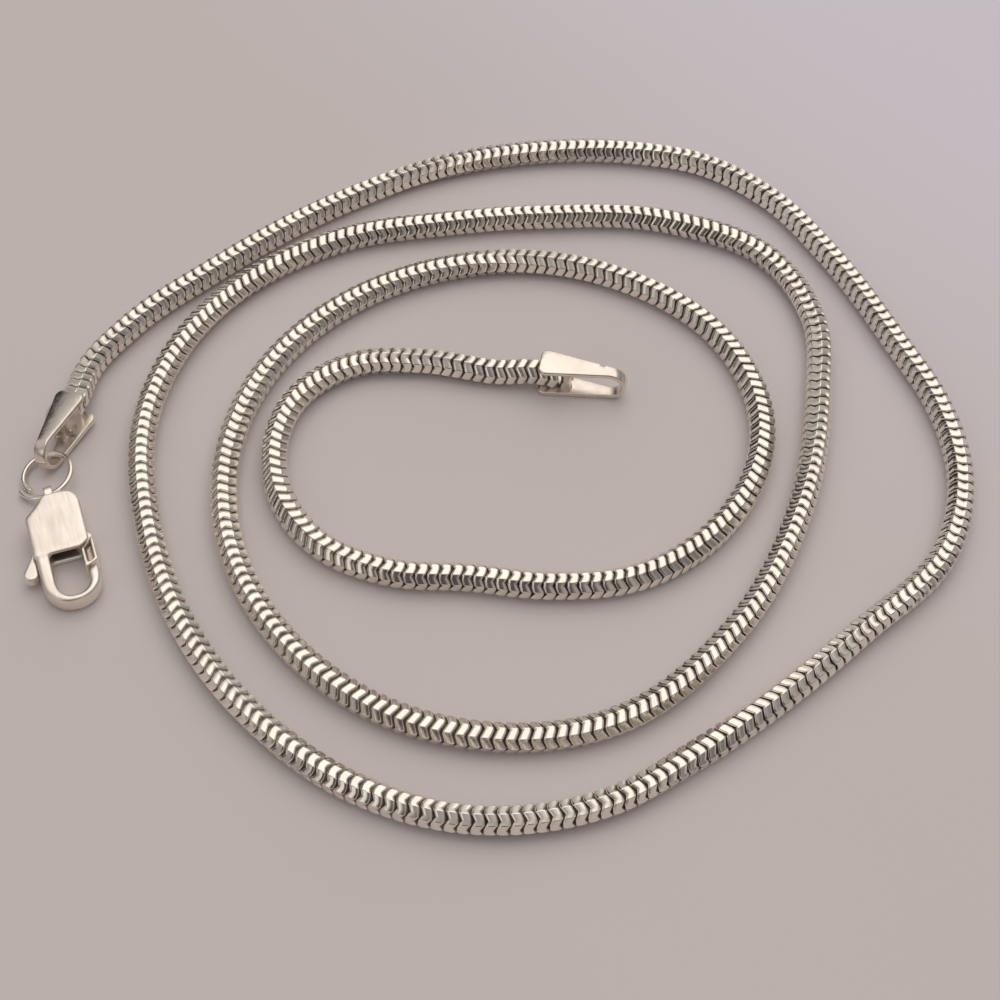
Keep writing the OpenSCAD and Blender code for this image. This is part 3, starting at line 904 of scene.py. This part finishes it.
def wire_rings():
    """Rings of points along the wire, from one cut end round to the other."""
    turns = np.linspace(-ring_half, ring_half, WIRE_PLACES)
    filed = FILED_LONG / ring_r * 180 / math.pi
    turns = np.insert(turns, [1, len(turns) - 1], [turns[0] + filed, turns[-1] - filed])
    rings = []
    for number, turn in enumerate(turns):
        side = 1 if turn < 0 else -1
        out = ring_r + side * ring_shift
        wire_r = WIRE_R * (FILED_SHARE if number in (0, len(turns) - 1) else 1)
        ring = []
        for k in range(WIRE_SIDES):
            a = 2 * math.pi * k / WIRE_SIDES
            reach = out + wire_r * math.cos(a)
            ring.append((
                reach * math.cos(math.radians(turn)) - side * ring_shift,
                reach * math.sin(math.radians(turn)),
                wire_r * math.sin(a),
            ))
        rings.append(ring)
    return np.array(rings)


ring_place = (
    Matrix.Translation(RING_AT)
    @ Matrix.Rotation(-math.radians(RING_TILT), 4, "Y")
    @ Matrix.Rotation(math.radians(RING_CUT_YAW - 180), 4, "Z")
)
add_piece(
    "jump_ring_wire", swept_mesh("jump_ring_wire", wire_rings(), ring_place, wire_silver, 50),
    "root", "jump_ring",
)

# %% [markdown]
# ## Clasp
# The body and the lever of a lobster clasp are cast from wax models and tumbled with steel shot,
# which rounds every edge. So each solid of the imported model is copied, filled with small cubes, and
# smoothed as the tumbling would do. The slot between the plates and the hollow of the lever stay
# dull, because the shot doesn't reach them, and their darker, browner tone there is painted shade.

# %% Tumbled castings
# The floor under the middle of the eye
CLASP_AT = Vector((-33.72668, -8.04816, 0.0)) * MM
clasp_place = Matrix.Translation(CLASP_AT) @ Matrix.Rotation(math.radians(CLASP_YAW), 4, "Z")
to_clasp_mm = Matrix.Scale(1 / MM, 4) @ clasp_place.inverted()


# Shares by which a round of tumbling smooths the eye and the rest, and where along the clasp, in
# mm, the one goes over into the other
EYE_PULL, FULL_PULL = 0.12, 0.5
EYE_TO, REST_FROM = 0.7, 1.3


def worn_smooth(mesh, rounds):
    """Moves every point towards the middle of its neighbours, and those of the thin eye less."""
    ends = np.empty(len(mesh.edges) * 2, np.int32)
    mesh.edges.foreach_get("vertices", ends)
    one, other = ends[0::2], ends[1::2]
    count = len(mesh.vertices)
    points = np.empty(count * 3, np.float32)
    mesh.vertices.foreach_get("co", points)
    points = points.reshape(-1, 3).astype(float)
    neighbours = np.bincount(one, minlength=count) + np.bincount(other, minlength=count)
    pull = np.interp(points[:, 0], [EYE_TO, REST_FROM], [EYE_PULL, FULL_PULL])
    for _ in range(rounds):
        for axis in range(3):
            value = points[:, axis]
            total = np.bincount(one, value[other], count) + np.bincount(other, value[one], count)
            value += pull * (total / neighbours - value)
    mesh.vertices.foreach_set("co", points.reshape(-1))
    mesh.update()


def tumbled(name, node, cube_mm, rounds, in_hollow):
    """A rounded copy of a solid. The function in_hollow says which faces stay dull and get painted
    shade.
    """
    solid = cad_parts[node]
    rough = solid.data.copy()
    rough.materials.clear()
    rough.transform(to_clasp_mm @ solid.matrix_world)
    worker = put_in_scene(name + "_work", rough)
    weld = worker.modifiers.new("weld", "WELD")
    weld.merge_threshold = 0.001
    cubes = worker.modifiers.new("cubes", "REMESH")
    cubes.mode = "VOXEL"
    cubes.voxel_size = cube_mm
    seen = worker.evaluated_get(bpy.context.evaluated_depsgraph_get())
    mesh = bpy.data.meshes.new_from_object(seen)
    mesh.name = name
    bpy.data.objects.remove(worker)
    worn_smooth(mesh, rounds)
    centres = np.empty(len(mesh.polygons) * 3)
    mesh.polygons.foreach_get("center", centres)
    normals = np.empty(len(mesh.polygons) * 3)
    mesh.polygons.foreach_get("normal", normals)
    # The faces in the hollows are dull and get the darker tone of painted shade
    dull = in_hollow(centres.reshape(-1, 3), normals.reshape(-1, 3))
    mesh.materials.clear()
    mesh.materials.append(cast_silver)
    mesh.materials.append(pocket_silver_painted_shade)
    mesh.polygons.foreach_set("material_index", dull.astype(np.int32))
    mesh.polygons.foreach_set("use_smooth", np.ones(len(mesh.polygons), bool))
    mesh.transform(clasp_place @ Matrix.Scale(MM, 4))
    return mesh


# In mm from the middle of the eye: the body's slot, and the hollow of the lever's arm
BODY_MIDDLE, SLOT_HALF, SLOT_FROM, SLOT_SIDE, BODY_END = 0.9, 0.5, 1.5, 1.7, 5.85
ARM_IN, ARM_OUT, ARM_WALL = 1.3, 2.35, 0.28


def in_slot(centre, normal):
    """Which faces of the body are inside the slot between its plates."""
    near_middle = np.abs(centre[:, 2] - BODY_MIDDLE) < SLOT_HALF + 0.03
    along = (centre[:, 0] > SLOT_FROM) & (centre[:, 0] < BODY_END - 0.1)
    flat = np.abs(normal[:, 2]) > 0.8
    return near_middle & along & (flat | (np.abs(centre[:, 1]) < SLOT_SIDE))


def in_pocket(centre, normal):
    """Which faces of the lever are inside the hollow of its arm."""
    wall = ARM_WALL * 0.9
    inside = (centre[:, 1] > ARM_IN + wall) & (centre[:, 1] < ARM_OUT - wall)
    low = (centre[:, 2] > BODY_MIDDLE - 0.1) & (centre[:, 2] < BODY_MIDDLE + 0.45)
    return inside & low & (centre[:, 0] > BODY_END - 0.5)


add_piece(
    "clasp_body_casting", tumbled("clasp_body_casting", "clasp_body", 0.05, 90, in_slot),
    "root", "clasp_body",
)
add_piece(
    "clasp_lever_casting", tumbled("clasp_lever_casting", "clasp_lever", 0.04, 40, in_pocket),
    "lever", "clasp_lever",
)
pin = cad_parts["clasp_pivot"]
pin.data.materials.clear()
pin.data.materials.append(cast_silver)
